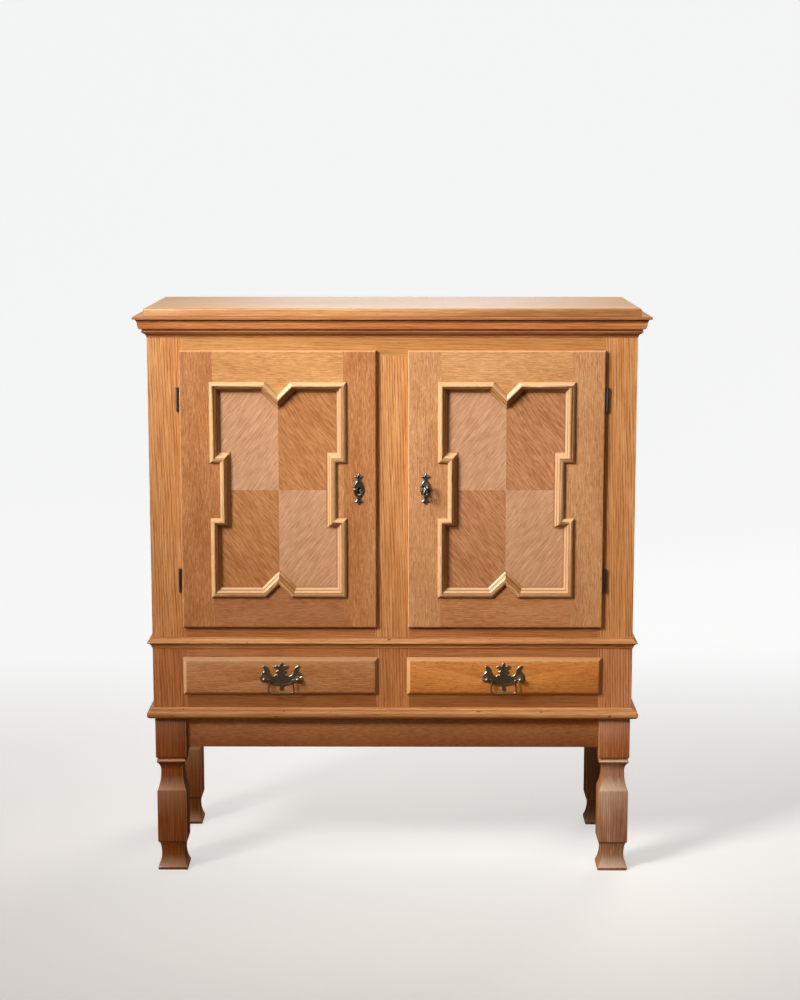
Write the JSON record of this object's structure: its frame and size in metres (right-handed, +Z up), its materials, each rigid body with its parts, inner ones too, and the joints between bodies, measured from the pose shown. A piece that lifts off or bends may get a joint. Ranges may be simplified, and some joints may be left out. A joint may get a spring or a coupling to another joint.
{
  "type": "linen press",
  "caption": "Oak linen press: locking, panelled cupboard doors over lipped drawers with bail pulls, in a moulded case with a cornice, on a stand of carved square legs.",
  "frame": {"origin": "On the floor, under the middle of the whole object's box.", "axes": "+Z up, +X to the right seen from the front, +Y to the back; the doors face -Y."},
  "size_m": [1.137, 0.4529, 1.286],
  "materials": {
    "oak": "satin varnish",
    "oak_veneer": "satin varnish",
    "dark_oak": "satin varnish",
    "plain_oak": "plain",
    "antique_brass": "antiqued",
    "dark_steel": "darkened"
  },
  "bodies": {
    "case": {"left_stile": "oak", "right_stile": "oak", "mullion": "oak", "top_rail": "oak", "middle_rails": "oak", "bottom_rails": "oak", "left_side": "oak", "right_side": "oak", "centre_partition": "plain_oak", "shelves": "plain_oak", "shelf_pins": "dark_steel", "bottom_board": "plain_oak", "deck_board": "plain_oak", "drawer_divider": "plain_oak", "back_panel": "plain_oak", "top_board": "oak", "drawer_runners": "plain_oak", "cornice": "oak", "waist_moulding": "oak", "base_moulding": "oak", "left_front_leg": "oak", "right_front_leg": "oak", "left_back_leg": "oak", "right_back_leg": "oak", "front_apron": "oak", "back_apron": "oak", "side_aprons": "oak", "hinge_frame_leaves": "dark_steel", "hinge_pins": "dark_steel"},
    "left_door": {"left_door_stiles": "oak", "left_door_rails": "oak", "left_door_panel": "oak_veneer", "left_door_moulding": "dark_oak", "left_door_fillers": "oak", "left_door_hinge_leaves": "dark_steel", "left_lock_case": "dark_steel", "left_escutcheon": "antique_brass"},
    "left_lock_bolt": {"left_bolt": "dark_steel"},
    "left_drawer": {"left_drawer_front": "oak", "left_drawer_box": "plain_oak", "left_drawer_bottom": "plain_oak", "left_pull_plate": "antique_brass", "left_pull_posts": "antique_brass"},
    "left_pull_bail": {"left_bail": "antique_brass"},
    "right_door": {"right_door_stiles": "oak", "right_door_rails": "oak", "right_door_panel": "oak_veneer", "right_door_moulding": "dark_oak", "right_door_fillers": "oak", "right_door_hinge_leaves": "dark_steel", "right_lock_case": "dark_steel", "right_escutcheon": "antique_brass"},
    "right_lock_bolt": {"right_bolt": "dark_steel"},
    "right_drawer": {"right_drawer_front": "oak", "right_drawer_box": "plain_oak", "right_drawer_bottom": "plain_oak", "right_pull_plate": "antique_brass", "right_pull_posts": "antique_brass"},
    "right_pull_bail": {"right_bail": "antique_brass"},
    "door_key": {"key": "antique_brass"}
  },
  "joints": [
    {"name": "left_door_swing", "type": "hinge", "parent": "case", "child": "left_door", "pos_m": [-0.475, -0.1864, 0.8825], "axis": [0, 0, -1], "range_deg": [0, 150]},
    {"name": "right_door_swing", "type": "hinge", "parent": "case", "child": "right_door", "pos_m": [0.475, -0.1864, 0.8825], "axis": [0, 0, 1], "range_deg": [0, 150]},
    {"name": "left_drawer_slide", "type": "slide", "parent": "case", "child": "left_drawer", "axis": [0, -1, 0], "range_m": [0, 0.28]},
    {"name": "left_bail_swing", "type": "hinge", "parent": "left_drawer", "child": "left_pull_bail", "pos_m": [-0.25, -0.2044, 0.4545], "axis": [-1, 0, 0], "range_deg": [-10, 85]},
    {"name": "right_drawer_slide", "type": "slide", "parent": "case", "child": "right_drawer", "axis": [0, -1, 0], "range_m": [0, 0.28]},
    {"name": "right_bail_swing", "type": "hinge", "parent": "right_drawer", "child": "right_pull_bail", "pos_m": [0.25, -0.2044, 0.4545], "axis": [-1, 0, 0], "range_deg": [-10, 85]},
    {"name": "key_turn", "type": "hinge", "parent": "right_door", "child": "door_key", "pos_m": [0.074, -0.2144, 0.8865], "axis": [0, 1, 0], "range_deg": [-20, 160]},
    {"name": "right_bolt_slide", "type": "slide", "parent": "right_door", "child": "right_lock_bolt", "axis": [-1, 0, 0], "range_m": [-0.00101, 0.00801]},
    {"name": "left_bolt_slide", "type": "slide", "parent": "left_door", "child": "left_lock_bolt", "axis": [1, 0, 0], "range_m": [0, 0.008]}
  ],
  "couplings": [
    {"joint": "right_bolt_slide", "follows": "key_turn", "m_per_rad": 0.0028648}
  ]
}
